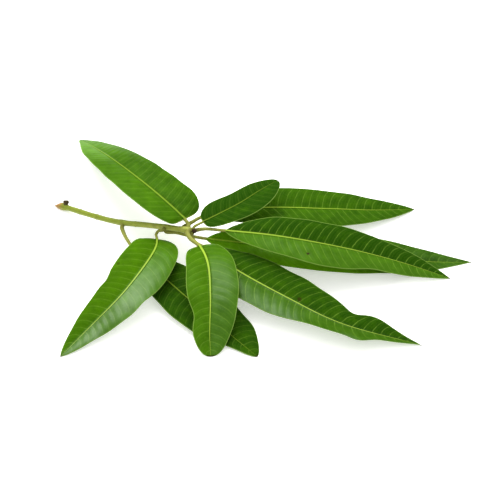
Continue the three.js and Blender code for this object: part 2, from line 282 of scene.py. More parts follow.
def smooth_curve(points):
    """A centripetal Catmull-Rom curve: between two points it is the cubic that leaves and arrives with
    slopes taken from the neighbours, each gap weighted by the square root of its length. Returns the
    samples and their distance along the curve."""
    p = np.asarray(points, float)
    ends = np.vstack([2 * p[0] - p[1], p, 2 * p[-1] - p[-2]])
    last = len(p) - 1
    u = np.linspace(0, last, SPAN * last + 1)
    i = np.minimum(u.astype(int), last - 1)
    w = (u - i)[:, None]
    p0, p1, p2, p3 = (ends[i + k] for k in range(4))
    d0, d1, d2 = (np.sqrt(np.linalg.norm(b - a, axis=1))[:, None] for a, b in ((p0, p1), (p1, p2), (p2, p3)))
    t1 = ((p1 - p0) / d0 - (p2 - p0) / (d0 + d1) + (p2 - p1) / d1) * d1
    t2 = ((p2 - p1) / d1 - (p3 - p1) / (d1 + d2) + (p3 - p2) / d2) * d1
    line = p1 + t1 * w + (-3 * p1 + 3 * p2 - 2 * t1 - t2) * w**2 + (2 * p1 - 2 * p2 + t1 + t2) * w**3
    run = np.concatenate([[0], np.cumsum(np.linalg.norm(np.diff(line, axis=0), axis=1))])
    return line, run


def frames_along(line, run, at):
    """At each distance: the point, the direction, and the two crossing directions, across (level) and out
    (upwards)."""
    def pick(values):
        return np.stack([np.interp(at, run, values[:, k]) for k in range(3)], 1)

    tangent = pick(np.gradient(line, run, axis=0))
    tangent /= np.linalg.norm(tangent, axis=1)[:, None]
    across = np.cross(tangent, [0, 0, 1])
    across /= np.linalg.norm(across, axis=1)[:, None]
    return pick(line), tangent, across, np.cross(across, tangent)


def bell(t, centre, spread):
    """1 at the centre, falling away as the exponential of minus the squared distance over the spread."""
    return np.exp(-(((t - centre) / spread) ** 2))


def step(value, low, high):
    """0 below low, 1 above high, and a smooth S between."""
    s = np.clip((value - low) / (high - low), 0, 1)
    return s * s * (3 - 2 * s)


def skin(rings):
    """Faces of a closed tube from a grid of rings, with a fan over each end. Returns the points with the
    two end centres added, and the corner counts and corners of the faces, turned to face outwards."""
    count, around, _ = rings.shape
    points = np.vstack([rings.reshape(-1, 3), rings[0].mean(0), rings[-1].mean(0)])
    i, j = np.meshgrid(np.arange(count - 1), np.arange(around), indexing="ij")
    a, b = i * around + j, i * around + (j + 1) % around
    quads = np.stack([a, b, b + around, a + around], -1).reshape(-1, 4)
    j = np.arange(around)
    k = (j + 1) % around
    first, last = np.full(around, count * around), (count - 1) * around
    fans = np.vstack([np.stack([first, k, j], 1), np.stack([first + 1, last + j, last + k], 1)])
    corners = np.concatenate([quads.ravel(), fans.ravel()])
    sizes = np.concatenate([np.full(len(quads), 4), np.full(len(fans), 3)])
    tri = np.vstack([quads[:, [0, 1, 2]], quads[:, [0, 2, 3]], fans])
    volume = np.einsum("ij,ij->i", points[tri[:, 0]], np.cross(points[tri[:, 1]], points[tri[:, 2]])).sum()
    if volume < 0:
        quads, fans = quads[:, ::-1], fans[:, ::-1]
        corners = np.concatenate([quads.ravel(), fans.ravel()])
    return points, sizes, corners


def end_rows(values):
    """A per-point grid of values with one more for each end's centre, to go with skin()."""
    flat = values.reshape(-1, *values.shape[2:])
    return np.concatenate([flat, values[0].mean(0)[None], values[-1].mean(0)[None]])


def make_mesh(name, parts, attributes):
    """One mesh object from skins in crown millimetres, placed in the model's frame in metres, with each
    attribute's values stored on its points."""
    points = np.vstack([p[0] for p in parts])
    starts = np.cumsum([0] + [len(p[0]) for p in parts[:-1]])
    sizes = np.concatenate([p[1] for p in parts])
    corners = np.concatenate([p[2] + s for p, s in zip(parts, starts)])
    mesh = bpy.data.meshes.new(name)
    mesh.vertices.add(len(points))
    mesh.vertices.foreach_set("co", ((points + CROWN) * MM).ravel())
    mesh.loops.add(len(corners))
    mesh.loops.foreach_set("vertex_index", corners)
    mesh.polygons.add(len(sizes))
    mesh.polygons.foreach_set("loop_start", np.concatenate([[0], np.cumsum(sizes)[:-1]]))
    mesh.polygons.foreach_set("use_smooth", np.ones(len(sizes), bool))
    for key, values in attributes.items():
        kind, field = ("FLOAT_VECTOR", "vector") if values.ndim == 2 else ("FLOAT", "value")
        store = mesh.attributes.new(key, kind, "POINT")
        store.data.foreach_set(field, values.astype(np.float32).ravel())
    mesh.update(calc_edges=True)
    mesh.validate()
    obj = bpy.data.objects.new(name, mesh)
    bpy.context.scene.collection.objects.link(obj)
    return obj


MAX_DRIFT = 4 * MM  # a piece's box may differ this much from its CAD node's


def adopt(obj, node, material):
    """Gives a piece its finish and its place in the model."""
    obj.data.materials.append(material)
    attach(obj, BODY)
    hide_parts(node)
    lo, hi = (np.array(corner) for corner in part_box(node))
    own = np.empty(len(obj.data.vertices) * 3, np.float32)
    obj.data.vertices.foreach_get("co", own)
    own = own.reshape(-1, 3)
    drift = max(np.abs(own.min(0) - lo).max(), np.abs(own.max(0) - hi).max())
    if drift > MAX_DRIFT:
        raise RuntimeError(f"{obj.name} is {drift / MM:.1f} mm off its CAD node {node}")


# ---- leaves ------------------------------------------------------------------------------------------

RIB_COLUMNS = 6
PANEL_COLUMNS = 20
STATION_GAP = 0.6  # millimetres between rings along a blade
STALK_GAP = 0.8  # millimetres between rings along a petiole
ROOTING = 0.35  # a petiole starts inside the twig, this share of the way from the core to its stated start
LAID_FOLD = math.radians(6)  # the CAD blade's fold, whose cosine shortens the half widths
SETTLING = 6  # millimetres over which a petiole turns into a blade
RIB_ROOM = 1.03  # a blade is at least this many times as wide as its midrib
FILM = 0.35  # least half width, and thickness where the surface flattens a blade, in millimetres
RIB_ABOVE = 0.28  # the midrib's height over the blade, and its depth under it, in midrib radii
RIB_BELOW = 1.15
RIB_LEAST = 0.05  # the midrib's radius at the very tip, in millimetres
RIB_TAPER = 0.85  # the midrib narrows as this power of the distance to the tip
PULVINUS = 0.5  # how much thicker a petiole is at its foot, as a share of its radius
SKIN_LEAST = 0.03  # half thickness of a blade's film where it starts from the petiole, in millimetres
CROWDING = 1.2  # above 1, the columns of a blade lie closer together towards its margin
MARGIN_WANDER = 0.008  # how much a margin wanders in and out, as a share of the half width
WANDER_LENGTH = 5.1  # millimetres along the midrib for each radian of that wandering
WAVES = ((1.0, 8.2), (0.5, 4.3))  # slow waves of a margin: share of the ripple, millimetres to the radian
DRIFTS = ((0.3, 19.0), (0.1, 7.3))  # side veins off their beat: share of the gap, millimetres to the radian
VEIN_LEAN = 0.32  # how far a side vein climbs for each millimetre outwards
VEIN_SWEEP = 5.5  # how much further it curves forwards at the margin, in millimetres
VEIN_STAGGER = 0.45  # how far the left veins stand off the right ones, as a share of the gap


def blade_outline(leaf, t):
    """Half width as a share of its greatest: t to the power base times (1 - t) to the power tip, scaled to
    be 1 where the two balance."""
    widest = leaf["base"] / (leaf["base"] + leaf["tip"])
    return (t / widest) ** leaf["base"] * ((1 - t) / (1 - widest)) ** leaf["tip"]


def blade_stations(leaf, blade_length):
    """Fractions of the blade's length for its rings: evenly spaced on the average of the distance along
    the midrib and the distance along the margin, so a blunt base or tip gets as many as it needs."""
    t = (1 - np.cos(np.linspace(0, math.pi, 8001)[1:-1])) / 2
    width = max(leaf["right"], leaf["left"]) * blade_outline(leaf, t)
    edge = np.concatenate([[0], np.cumsum(np.hypot(np.diff(t) * blade_length, np.diff(width)))])
    mixed = (edge / edge[-1] + (t - t[0]) / (t[-1] - t[0])) / 2
    return np.interp(np.linspace(0, 1, int(blade_length / STATION_GAP)), mixed, t)


def leaf_skin(leaf, seed, look):
    """Petiole and blade as one grid. Along the leaf run the stations; round it run columns over the top
    from the left margin to the right and back underneath. At a station the blade is the midrib point, plus
    the level direction times the distance out, plus the upright direction times a height: the fold's rise
    less the recurve, plus the margin's ripples and slow waves, plus the pucker, which is the squared sine of
    the vein count. Both faces then stand off by half the thickness, and a half-round midrib is added, low
    above and deep below. Nothing goes under the surface that the sprig lies on. On the petiole the blade's
    width shrinks to the midrib's, which leaves a round. Returns the skin and the values that its finish
    reads: place (along, across, in from the margin), share (of the length, of the half width, 1 on the upper
    face), rib (distance from the midrib in its radii) and vein (the vein count)."""
    twig, _ = smooth_curve(TWIG_AXIS)
    start = np.array(leaf["petiole"][0])
    core = twig[np.argmin(np.linalg.norm(twig - start, axis=1))]
    root = core + ROOTING * (start - core)
    line, run = smooth_curve([root.tolist()] + leaf["petiole"] + leaf["midrib"])
    foot = run[SPAN * len(leaf["petiole"])]
    blade_length = run[-1] - foot
    t_blade = blade_stations(leaf, blade_length)
    stalk = np.linspace(0, foot, max(12, int(foot / STALK_GAP)), endpoint=False)
    at = np.concatenate([stalk, foot + t_blade * blade_length])
    middle, _, across, out = frames_along(line, run, at)
    on_stalk = at < foot
    t = np.where(on_stalk, 0.0, (at - foot) / blade_length)[:, None]
    s = (at - foot)[:, None]
    stalk_share = np.where(on_stalk, at / foot, 1.0)[:, None]

    roll = np.radians(leaf["roll"][0] + (leaf["roll"][1] - leaf["roll"][0]) * t)
    level = across * np.cos(roll) + out * np.sin(roll)
    upright = out * np.cos(roll) - across * np.sin(roll)

    half = np.arange(1, RIB_COLUMNS + PANEL_COLUMNS + 1)
    half = np.concatenate([-half[::-1], [0], half]).astype(float)
    sign = np.sign(half)[None, :]
    inner = np.sin(math.pi / 2 * np.minimum(np.abs(half) / RIB_COLUMNS, 1))[None, :]
    outer = np.clip((np.abs(half) - RIB_COLUMNS) / PANEL_COLUMNS, 0, 1)[None, :]
    outer = 1 - (1 - outer) ** CROWDING

    foot_swelling = 1 + PULVINUS * (1 - stalk_share) ** 3
    rib = leaf["radius"] * np.where(on_stalk[:, None], foot_swelling, (1 - t) ** RIB_TAPER) + RIB_LEAST
    settled = step(s, 0, SETTLING)
    left = sign < 0
    width = np.where(left, leaf["left"], leaf["right"]) * blade_outline(leaf, np.clip(t, 1e-9, 1 - 1e-9))
    lift = np.zeros_like(width)
    for where, centre, spread, raised, widened in leaf["ripples"]:
        here = (left if where == "left" else ~left) * bell(t, centre, spread)
        width = width * (1 + widened * here)
        lift = lift + raised * here
    waver = np.random.default_rng(seed).uniform(0, 2 * math.pi, (2, 8))
    phase = np.where(left, waver[0][:, None, None], waver[1][:, None, None])
    width = width * (1 + MARGIN_WANDER * np.sin(s / WANDER_LENGTH + phase[0]) * settled)
    width = np.where(on_stalk[:, None], 0, width)
    width = np.maximum(width, np.maximum(RIB_ROOM * rib, FILM))
    rib_width = np.minimum(rib, width / RIB_ROOM)
    y = rib_width * inner + (width - rib_width) * outer
    x = y / width
    on_blade = np.where(on_stalk[:, None], 0, settled)

    veins = (s - VEIN_LEAN * y - VEIN_SWEEP * x**3) / (look.vein_gap / MM)
    for (amount, pace), begin in zip(DRIFTS, phase[1:3]):
        veins = veins + amount * np.sin(s / pace + begin)
    veins = veins + np.where(left, VEIN_STAGGER, 0)
    fade = step(x, 0.04, 0.3) * (1 - 0.75 * step(x, 0.75, 1)) * step(width, 3, 12)
    pucker = look.pucker / MM * np.sin(math.pi * veins) ** 2 * fade
    waves = sum(amount * np.sin(s / pace + begin) for (amount, pace), begin in zip(WAVES, phase[3:5]))
    waves = leaf["wavy"] * look.ripple / MM * waves * x**2 * step(width, 4, 14)
    rise = width * (x * math.sin(look.fold) - look.recurve * x**2) + lift * x**2 + pucker + waves
    rise = rise * on_blade

    dome = np.sqrt(np.clip(1 - (y / rib_width) ** 2, 0, 1))
    flat = (look.thickness + (look.edge - look.thickness) * x**4) / MM / 2
    flat = np.where(on_stalk[:, None], SKIN_LEAST, SKIN_LEAST + (flat - SKIN_LEAST) * on_blade)
    above = rise + flat + dome * rib * (1 + (RIB_ABOVE - 1) * on_blade)
    below = rise - flat - dome * rib * (1 + (RIB_BELOW - 1) * on_blade)
    outward = middle[:, None] + level[:, None] * (sign * y * math.cos(LAID_FOLD))[..., None]
    top = outward + upright[:, None] * above[..., None]
    bottom = outward + upright[:, None] * below[..., None]
    bottom[..., 2] = np.maximum(bottom[..., 2], 0)
    pressed = bottom[..., 2] == 0
    top[..., 2] = np.maximum(top[..., 2], bottom[..., 2] + np.where(pressed, FILM, 0))

    def rim(k):
        return (top[:, k] + bottom[:, k]) / 2 + level * np.sign(half[k]) * 0.5 * flat[:, [k]]

    rings = np.concatenate([top, rim(-1)[:, None], bottom[:, ::-1], rim(0)[:, None]], 1)

    def round_ring(upper, lower, edge):
        return end_rows(np.concatenate([upper, edge(-1), lower[:, ::-1], edge(0)], 1))

    def same(values):
        full = np.broadcast_to(values, y.shape)
        return round_ring(full, full, lambda k: full[:, [k]])

    ones = np.ones_like(y)
    upper_face = round_ring(ones, 0 * ones, lambda k: 0.5 * ones[:, [k]])
    stalk_mark = np.where(on_stalk[:, None], stalk_share - 1, t)
    attributes = {
        "place": np.stack([same(s), same(sign * y), same(width - y)], -1),
        "share": np.stack([same(stalk_mark), same(x), upper_face], -1),
        "rib": same(y / rib),
        "vein": same(veins),
    }
    return skin(rings), attributes


# ---- finishes ----------------------------------------------------------------------------------------

BROAD = 0.09  # sizes of the uneven patterns on a leaf, in waves to the millimetre
MOTTLED = 0.2
GRAINY = 0.55
NET_SIZE = 0.75
FLECK_SIZE = 0.11
PATTERN_SHIFT = 37.0  # sets the leaves' patterns apart
COUNT_START = 100.0  # keeps the vein count above 0 near a blade's base
HALO = 0.03  # how strongly each pattern shows in a leaf's green, from 0 to 1
NET = 0.03
MINOR_VEIN = 0.06
SIDE_VEIN = 0.46
SHOULDER = 0.3
FLECK = 0.35
EDGE_LINE = 0.45
DRY_TIP = 0.985  # the share of the length where the dried tip starts
SIDE_GROOVE = -0.05  # heights of the upper face's fine relief, in millimetres
MINOR_GROOVE = -0.02
NET_GROOVE = -0.012
GRAIN_RISE = 0.05
LEAF_SPECULAR = 0.012  # the plain skin hardly mirrors, and the coat of wax does the rest
BARK_SPECULAR = 0.35
BUD_SPECULAR = 0.3
BARK_ROUGHNESS = 0.45
BUD_ROUGHNESS = 0.62
# painted light: the paler bark towards the crown is painted over these distances
LIT_STRETCH = (70.0, 140.0)  # the bark pales between these distances from the torn end
STREAK_STRETCH = 0.12  # bark streaks are drawn out along the twig by the inverse of this
PIT = (0.006, 0.004, 0.002)  # near black of the stub's cracks
PAPER = (0.8, 0.8, 0.8)  # the greyer patches of the table


class Finish:
    """A short way to write a shader: each call adds a node and gives back its output."""

    def __init__(self, name):
        self.material = bpy.data.materials.new(name)
        self.material.use_nodes = True
        self.tree = self.material.node_tree
        self.shader = self.tree.nodes["Principled BSDF"]

    def node(self, kind, out=0, settings=None, **inputs):
        """Inputs are given by name, or by number as i0, i1 and so on."""
        n = self.tree.nodes.new(kind)
        for key, value in (settings or {}).items():
            setattr(n, key, value)
        for key, value in inputs.items():
            numbered = key[0] == "i" and key[1:].isdigit()
            self.put(n.inputs[int(key[1:]) if numbered else key.replace("_", " ")], value)
        return n.outputs[out]

    def put(self, socket, value):
        if isinstance(value, bpy.types.NodeSocket):
            self.tree.links.new(value, socket)
        elif hasattr(value, "__len__") and len(value) == 3 and socket.type == "RGBA":
            socket.default_value = (*value, 1)
        else:
            socket.default_value = value

    def math(self, operation, a, b=0.0, clamp=False):
        return self.node("ShaderNodeMath", settings={"operation": operation, "use_clamp": clamp}, i0=a, i1=b)

    def mix(self, share, a, b):
        return self.node("ShaderNodeMix", 2, {"data_type": "RGBA"}, i0=share, i6=a, i7=b)

    def scaled(self, value, low, high, to_low=0.0, to_high=1.0):
        """value from low..high to to_low..to_high, with a smooth S between."""
        return self.node("ShaderNodeMapRange", settings={"interpolation_type": "SMOOTHSTEP"},
                         i0=value, i1=low, i2=high, i3=to_low, i4=to_high)

    def attribute(self, name):
        """An attribute's three values."""
        return self.node("ShaderNodeAttribute", 1, {"attribute_name": name})

    def number(self, name):
        """An attribute's single value."""
        return self.node("ShaderNodeAttribute", 2, {"attribute_name": name})

    def parts(self, vector):
        n = self.tree.nodes.new("ShaderNodeSeparateXYZ")
        self.put(n.inputs[0], vector)
        return n.outputs[0], n.outputs[1], n.outputs[2]

    def vector(self, x, y, z=0.0):
        return self.node("ShaderNodeCombineXYZ", i0=x, i1=y, i2=z)

    def noise(self, place, scale, detail=3.0, roughness=0.5):
        return self.node("ShaderNodeTexNoise", Vector=place, Scale=scale, Detail=detail, Roughness=roughness)

    def cells(self, place, scale, feature="DISTANCE_TO_EDGE"):
        return self.node("ShaderNodeTexVoronoi", settings={"feature": feature}, Vector=place, Scale=scale)

    def object_place(self):
        return self.node("ShaderNodeTexCoord", 3)

    def finish(self, base, roughness, height, **uniform):
        """Joins the finish up and gives back the material. The height is in millimetres."""
        self.put(self.shader.inputs["Base Color"], base)
        self.put(self.shader.inputs["Roughness"], roughness)
        bump = self.node("ShaderNodeBump", Strength=1.0, Distance=MM, Height=height)
        self.put(self.shader.inputs["Normal"], bump)
        for key, value in uniform.items():
            self.put(self.shader.inputs[key.replace("_", " ")], value)
        return self.material


def leaf_finish(leaf, seed, look):
    """Waxy upper face with side veins, a net of fine veins, a bright midrib and a pale edge, its green
    carrying painted light and shade on each half; a paler matte underside; a stalk that browns towards the
    twig; dried tip and blemishes."""
    f = Finish(leaf["name"])
    along, side, rim = f.parts(f.attribute("place"))
    share_along, reach, top = f.parts(f.attribute("share"))
    rib, vein = f.number("rib"), f.number("vein")
    flat_place = f.vector(along, side, PATTERN_SHIFT * seed)

    drift = f.math("SUBTRACT", f.noise(flat_place, BROAD, 2), 0.5)
    grain = f.math("SUBTRACT", f.noise(flat_place, GRAINY, 4), 0.5)
    wander = f.math("SUBTRACT", f.noise(flat_place, MOTTLED, 2), 0.5)
    count = f.math("ADD", vein, f.math("MULTIPLY", wander, 0.16))
    gap = look.vein_gap / MM

    def line(count, every, width, soft):
        """A line at each whole number of the count: its half width, then its soft edge, in millimetres."""
        away = f.math("MULTIPLY", f.math("PINGPONG", f.math("ADD", count, COUNT_START), 0.5), every)
        return f.scaled(away, f.math("ADD", width, soft), width)

    inside = f.math("MULTIPLY", f.scaled(reach, 0.99, 0.86), f.scaled(rib, 0.7, 1.1))
    main_width = f.scaled(reach, 0.0, 0.9, 0.16, 0.04)
    main_line = f.math("MULTIPLY", line(count, gap, main_width, 0.34), inside)
    main_line = f.math("MULTIPLY", main_line, f.scaled(f.noise(flat_place, 0.13, 2), 0.35, 0.62, 0.35, 1.0))
    halo = f.math("MULTIPLY", line(count, gap, 0.2, 2.6), inside)
    between = f.math("ADD", f.math("MULTIPLY", count, 3.0), f.math("MULTIPLY", grain, 0.5))
    minor_line = f.math("MULTIPLY", line(between, gap / 3, 0.03, 0.35), inside)
    net = f.scaled(f.cells(flat_place, NET_SIZE), 0.0, 0.12, 1.0, 0.0)

    # painted light and shade: each half's green is set brighter or darker by the tone, then drifts at random
    right, left = leaf["tone_and_painted_light"]
    tone_and_painted_light = f.scaled(side, -0.8, 0.8, left, right)
    # darker towards the tip by the fade, which on leaf_right_lower takes back its painted light, and darker
    # towards the blade's base
    tone_and_painted_light = f.math("SUBTRACT", tone_and_painted_light, f.scaled(share_along, 0.45, 0.8, 0.0, leaf["fade"]))
    tone_and_painted_light = f.math("SUBTRACT", tone_and_painted_light, f.scaled(share_along, 0.14, 0.0, 0.0, 0.15))
    tone_and_painted_light = f.math("ADD", tone_and_painted_light, f.math("MULTIPLY", drift, 0.9))
    tone_and_painted_light = f.math("ADD", tone_and_painted_light, f.math("MULTIPLY", grain, 0.35))
    green = f.mix(tone_and_painted_light, look.deep, look.fresh)
    # painted light: where the tone goes above 1 the green turns to the brightest green
    green = f.mix(f.math("SUBTRACT", tone_and_painted_light, 1.0), green, look.lit_green)
    green = f.mix(f.math("MULTIPLY", halo, HALO), green, look.vein)
    green = f.mix(f.math("MULTIPLY", net, NET), green, look.vein)
    green = f.mix(f.math("MULTIPLY", minor_line, MINOR_VEIN), green, look.vein)
    green = f.mix(f.math("MULTIPLY", main_line, SIDE_VEIN * leaf["veins"]), green, look.vein)
    shoulder = f.math("MULTIPLY", f.scaled(rib, 2.6, 1.0), f.scaled(f.noise(flat_place, 0.3, 2), 0.35, 0.7))
    green = f.mix(f.math("MULTIPLY", shoulder, SHOULDER), green, look.brown)
    green = f.mix(f.scaled(rim, 0.8, 0.3, 0.0, EDGE_LINE), green, look.margin)
    midrib = f.scaled(rib, 0.75, 0.4, 0.0, leaf["rib"])
    green = f.mix(midrib, green, look.midrib)
    here = f.vector(along, side)
    for where, out, radius, dark in leaf["marks"]:
        away = f.node("ShaderNodeVectorMath", 1, {"operation": "DISTANCE"}, i0=here, i1=(where, out, 0))
        away = f.math("ADD", away, f.math("MULTIPLY", grain, 2.2 * radius))
        green = f.mix(f.scaled(away, 1.3 * radius, 0.5 * radius, 0.0, dark), green, look.brown)
    fleck = f.scaled(f.cells(flat_place, FLECK_SIZE, "F1"), 0.045, 0.02)
    green = f.mix(f.math("MULTIPLY", fleck, FLECK), green, look.brown)

    under = f.mix(f.math("MULTIPLY", main_line, 0.7), look.underside, look.midrib)
    under = f.mix(f.math("MULTIPLY", net, 0.2), under, look.deep)
    under = f.mix(f.scaled(rib, 1.1, 0.9), under, look.midrib)
    body = f.mix(f.scaled(top, 0.4, 0.6), under, green)
    body = f.mix(f.scaled(share_along, DRY_TIP, 1.0, 0.0, 0.85), body, look.brown)

    round_stalk = f.vector(f.math("MULTIPLY", along, 0.4), f.math("MULTIPLY", side, 2.0), seed)
    ring = f.noise(round_stalk, 1.2, 3)
    stalk = f.mix(f.scaled(share_along, -0.7, -1.0, 0.0, 0.35), look.petiole, look.brown)
    stalk = f.mix(f.scaled(ring, 0.45, 0.75, 0.0, 0.15), stalk, look.brown)
    base = f.mix(f.scaled(along, 1.5, -0.5), body, stalk)

    right, left = leaf["shine"]
    uneven = f.math("ADD", f.math("MULTIPLY", drift, 1.5), 1.0)
    shine = f.math("MULTIPLY", f.scaled(side, -2.5, 2.5, left, right), uneven)
    shine = f.math("MULTIPLY", shine, f.scaled(share_along, 0.08, 0.6, 0.15, 1.2))
    shine = f.math("MULTIPLY", shine, f.scaled(top, 0.4, 0.6), clamp=True)
    rough = f.math("ADD", look.roughness, f.math("MULTIPLY", drift, 0.25))
    rough = f.math("ADD", rough, f.math("MULTIPLY", main_line, 0.1))
    rough = f.math("ADD", rough, f.scaled(top, 0.6, 0.4, 0.0, 0.25))

    height = f.math("MULTIPLY", main_line, SIDE_GROOVE)
    height = f.math("ADD", height, f.math("MULTIPLY", minor_line, MINOR_GROOVE))
    height = f.math("ADD", height, f.math("MULTIPLY", net, NET_GROOVE))
    height = f.math("ADD", height, f.math("MULTIPLY", grain, GRAIN_RISE))
    return f.finish(base, rough, height, Specular_IOR_Level=LEAF_SPECULAR, Coat_Weight=shine,
                    Coat_Roughness=look.wax)


def bark_finish(look):
    """Green bark painted paler towards the crown as painted light, with fine lengthwise streaks, corky brown
    at the nodes and crown, bare wood at the torn end and a dark cracked stub."""
    f = Finish("green_bark")
    along, around, _ = f.parts(f.attribute("place"))
    cut, stub, corky = f.parts(f.attribute("wood"))
    streaky = f.vector(f.math("MULTIPLY", along, STREAK_STRETCH), around)
    streak = f.noise(streaky, 1.6, 4, 0.6)
    blotch = f.noise(f.attribute("place"), 0.16, 3)
    fine = f.noise(f.attribute("place"), 2.4, 3)
    # painted light: the bark turns paler towards the crown
    base = f.mix(f.scaled(along, *LIT_STRETCH, 0.0, 0.8), look.bark, look.lit_bark)
    base = f.mix(f.scaled(streak, 0.38, 0.72, 0.0, 0.55), base, look.streak)
    base = f.mix(f.scaled(blotch, 0.5, 0.75, 0.0, 0.2), base, look.brown)
    spots = f.scaled(f.cells(f.vector(f.math("MULTIPLY", along, 0.5), around), 0.55, "F1"), 0.2, 0.1)
    base = f.mix(f.math("MULTIPLY", spots, 0.45), base, look.cut)
    patch = f.math("MULTIPLY", corky, f.scaled(f.noise(f.attribute("place"), 0.7, 4), 0.3, 0.6))
    base = f.mix(patch, base, look.brown)
    base = f.mix(stub, base, look.brown)
    cracks = f.math("MULTIPLY", f.scaled(fine, 0.35, 0.7), f.math("MULTIPLY", stub, 0.3))
    base = f.mix(cracks, base, PIT)
    rings = f.noise(f.attribute("place"), 1.5, 4)
    wood = f.mix(f.scaled(rings, 0.35, 0.7, 0.0, 0.6), look.cut, look.torn)
    base = f.mix(cut, base, wood)
    bare = f.math("MULTIPLY", f.scaled(along, TORN_LENGTH, 7.0), f.scaled(rings, 0.6, 0.4, 0.35, 1.0))
    base = f.mix(bare, base, wood)
    worn = f.math("MAXIMUM", f.math("MAXIMUM", cut, stub), patch)
    rough = f.math("ADD", BARK_ROUGHNESS, f.math("MULTIPLY", worn, 0.3))
    height = f.math("ADD", f.math("MULTIPLY", streak, 0.12), f.math("MULTIPLY", fine, 0.05))
    return f.finish(base, rough, height, Specular_IOR_Level=BARK_SPECULAR)


def bud_finish(look):
    """Dark overlapping scales with dry, lighter edges."""
    f = Finish("bud_scales")
    edge = f.number("edge")
    fine = f.noise(f.object_place(), 1400.0, 3)
    base = f.mix(f.scaled(fine, 0.3, 0.7, 0.0, 0.5), look.dark, look.light)
    base = f.mix(f.scaled(edge, 0.75, 0.98, 0.0, 0.8), base, look.light)
    height = f.math("MULTIPLY", fine, 0.1)
    return f.finish(base, BUD_ROUGHNESS, height, Specular_IOR_Level=BUD_SPECULAR)


# ---- twig and bud ------------------------------------------------------------------------------------

def turned_frame(direction):
    """Three crossing directions, the first along the given one."""
    w = np.array(direction, float)
    w /= np.linalg.norm(w)
    u = np.cross(w, [0, 0, 1])
    u /= np.linalg.norm(u)
    return w, u, np.cross(u, w)


SLIVER = 2.2  # the torn strip at the end reaches this far past the axis, in millimetres
CUT_DEPTH = 0.8  # the slanted cut starts this many radii under the axis
CUT_CLIMB = 0.62  # and climbs this much for each millimetre along it
ROUNDED = 0.985  # the share of the length where the crown's end starts to round off
STUB_RIM = 0.75  # the share of the stub's rings that climb its side
STUB_START = 30.0  # the stub's bark is numbered on from here, clear of the torn end's


def twig_skin(look):
    """A round carried along the twig's curve. Its radius is the twig's, plus a bell at each node and at the
    crown, plus shallow lengthwise ridges, close rings below the crown and a low ring at each scar. The lower
    end is cut on a slant: there the round's height above the axis is held under a plane that climbs from the
    tip. Returns the skin, its place (along, round, across) and its wood (cut face, stub, cork)."""
    line, run = smooth_curve(TWIG_AXIS)
    total = run[-1]
    torn = np.linspace(0, TORN_LENGTH, 48, endpoint=False)
    at = np.concatenate([torn, np.linspace(TORN_LENGTH, total, 320)])
    middle, tangent, across, out = frames_along(line, run, at)
    middle = middle - tangent * (SLIVER * (1 - step(at, 0, TORN_LENGTH)))[:, None]
    angle = np.linspace(0, 2 * math.pi, 64, endpoint=False)[None, :]
    u = (at / total)[:, None]
    d = at[:, None]
    radius = look.radius + look.crown_swelling * bell(u, CROWN_SWELLING, 0.035)
    radius = (radius + look.heel_swelling * bell(u, HEEL, 0.03)) / MM
    for node in TWIG_NODES:
        radius = radius + look.node_swelling / MM * bell(u, node, 0.025)
    radius = radius + 0.06 * np.sin(5 * angle + 3 * u) + 0.04 * np.sin(11 * angle - 7 * u)
    radius = radius + 0.05 * np.sin(d / 3.7) + 0.09 * step(u, 0.9, 0.95) * np.sin(d * 3.1 + np.sin(3 * angle))
    for scar in SCARS:
        radius = radius + 0.22 * bell(u, scar, 0.006)
    radius = radius * np.where(u > ROUNDED, 1 - 0.5 * ((u - ROUNDED) / 0.015) ** 2, 1)
    tip = np.clip(d / 5.0, 0.004, 1) ** 0.6
    side, up = radius * np.cos(angle) * tip, radius * np.sin(angle) * np.clip(tip, 0.5, 1)
    plane = -CUT_DEPTH * look.radius / MM + d * CUT_CLIMB
    slanted = step(up - plane, -0.02, 0.25) * (d < 9)
    up = np.minimum(up, plane + 0.06 * np.sin(9 * angle + d))
    rings = middle[:, None] + across[:, None] * side[..., None] + out[:, None] * up[..., None]
    rings[..., 2] = np.maximum(rings[..., 2], 0)
    corky = np.zeros_like(side)
    for node in TWIG_NODES:
        corky = corky + 0.25 * bell(u, node, 0.012)
    corky = corky + 0.8 * step(u, 0.965, 1.0) + 0.9 * step(9 - d, 0, 5) + 0.3 * bell(u, SCARS[0], 0.006)
    wrap = np.broadcast_to(angle * look.radius / MM, side.shape)
    place = np.stack([np.broadcast_to(d, side.shape), wrap, side], -1)
    wood = np.stack([slanted, np.zeros_like(side), np.clip(corky, 0, 1)], -1)
    return skin(rings), end_rows(place), end_rows(wood)


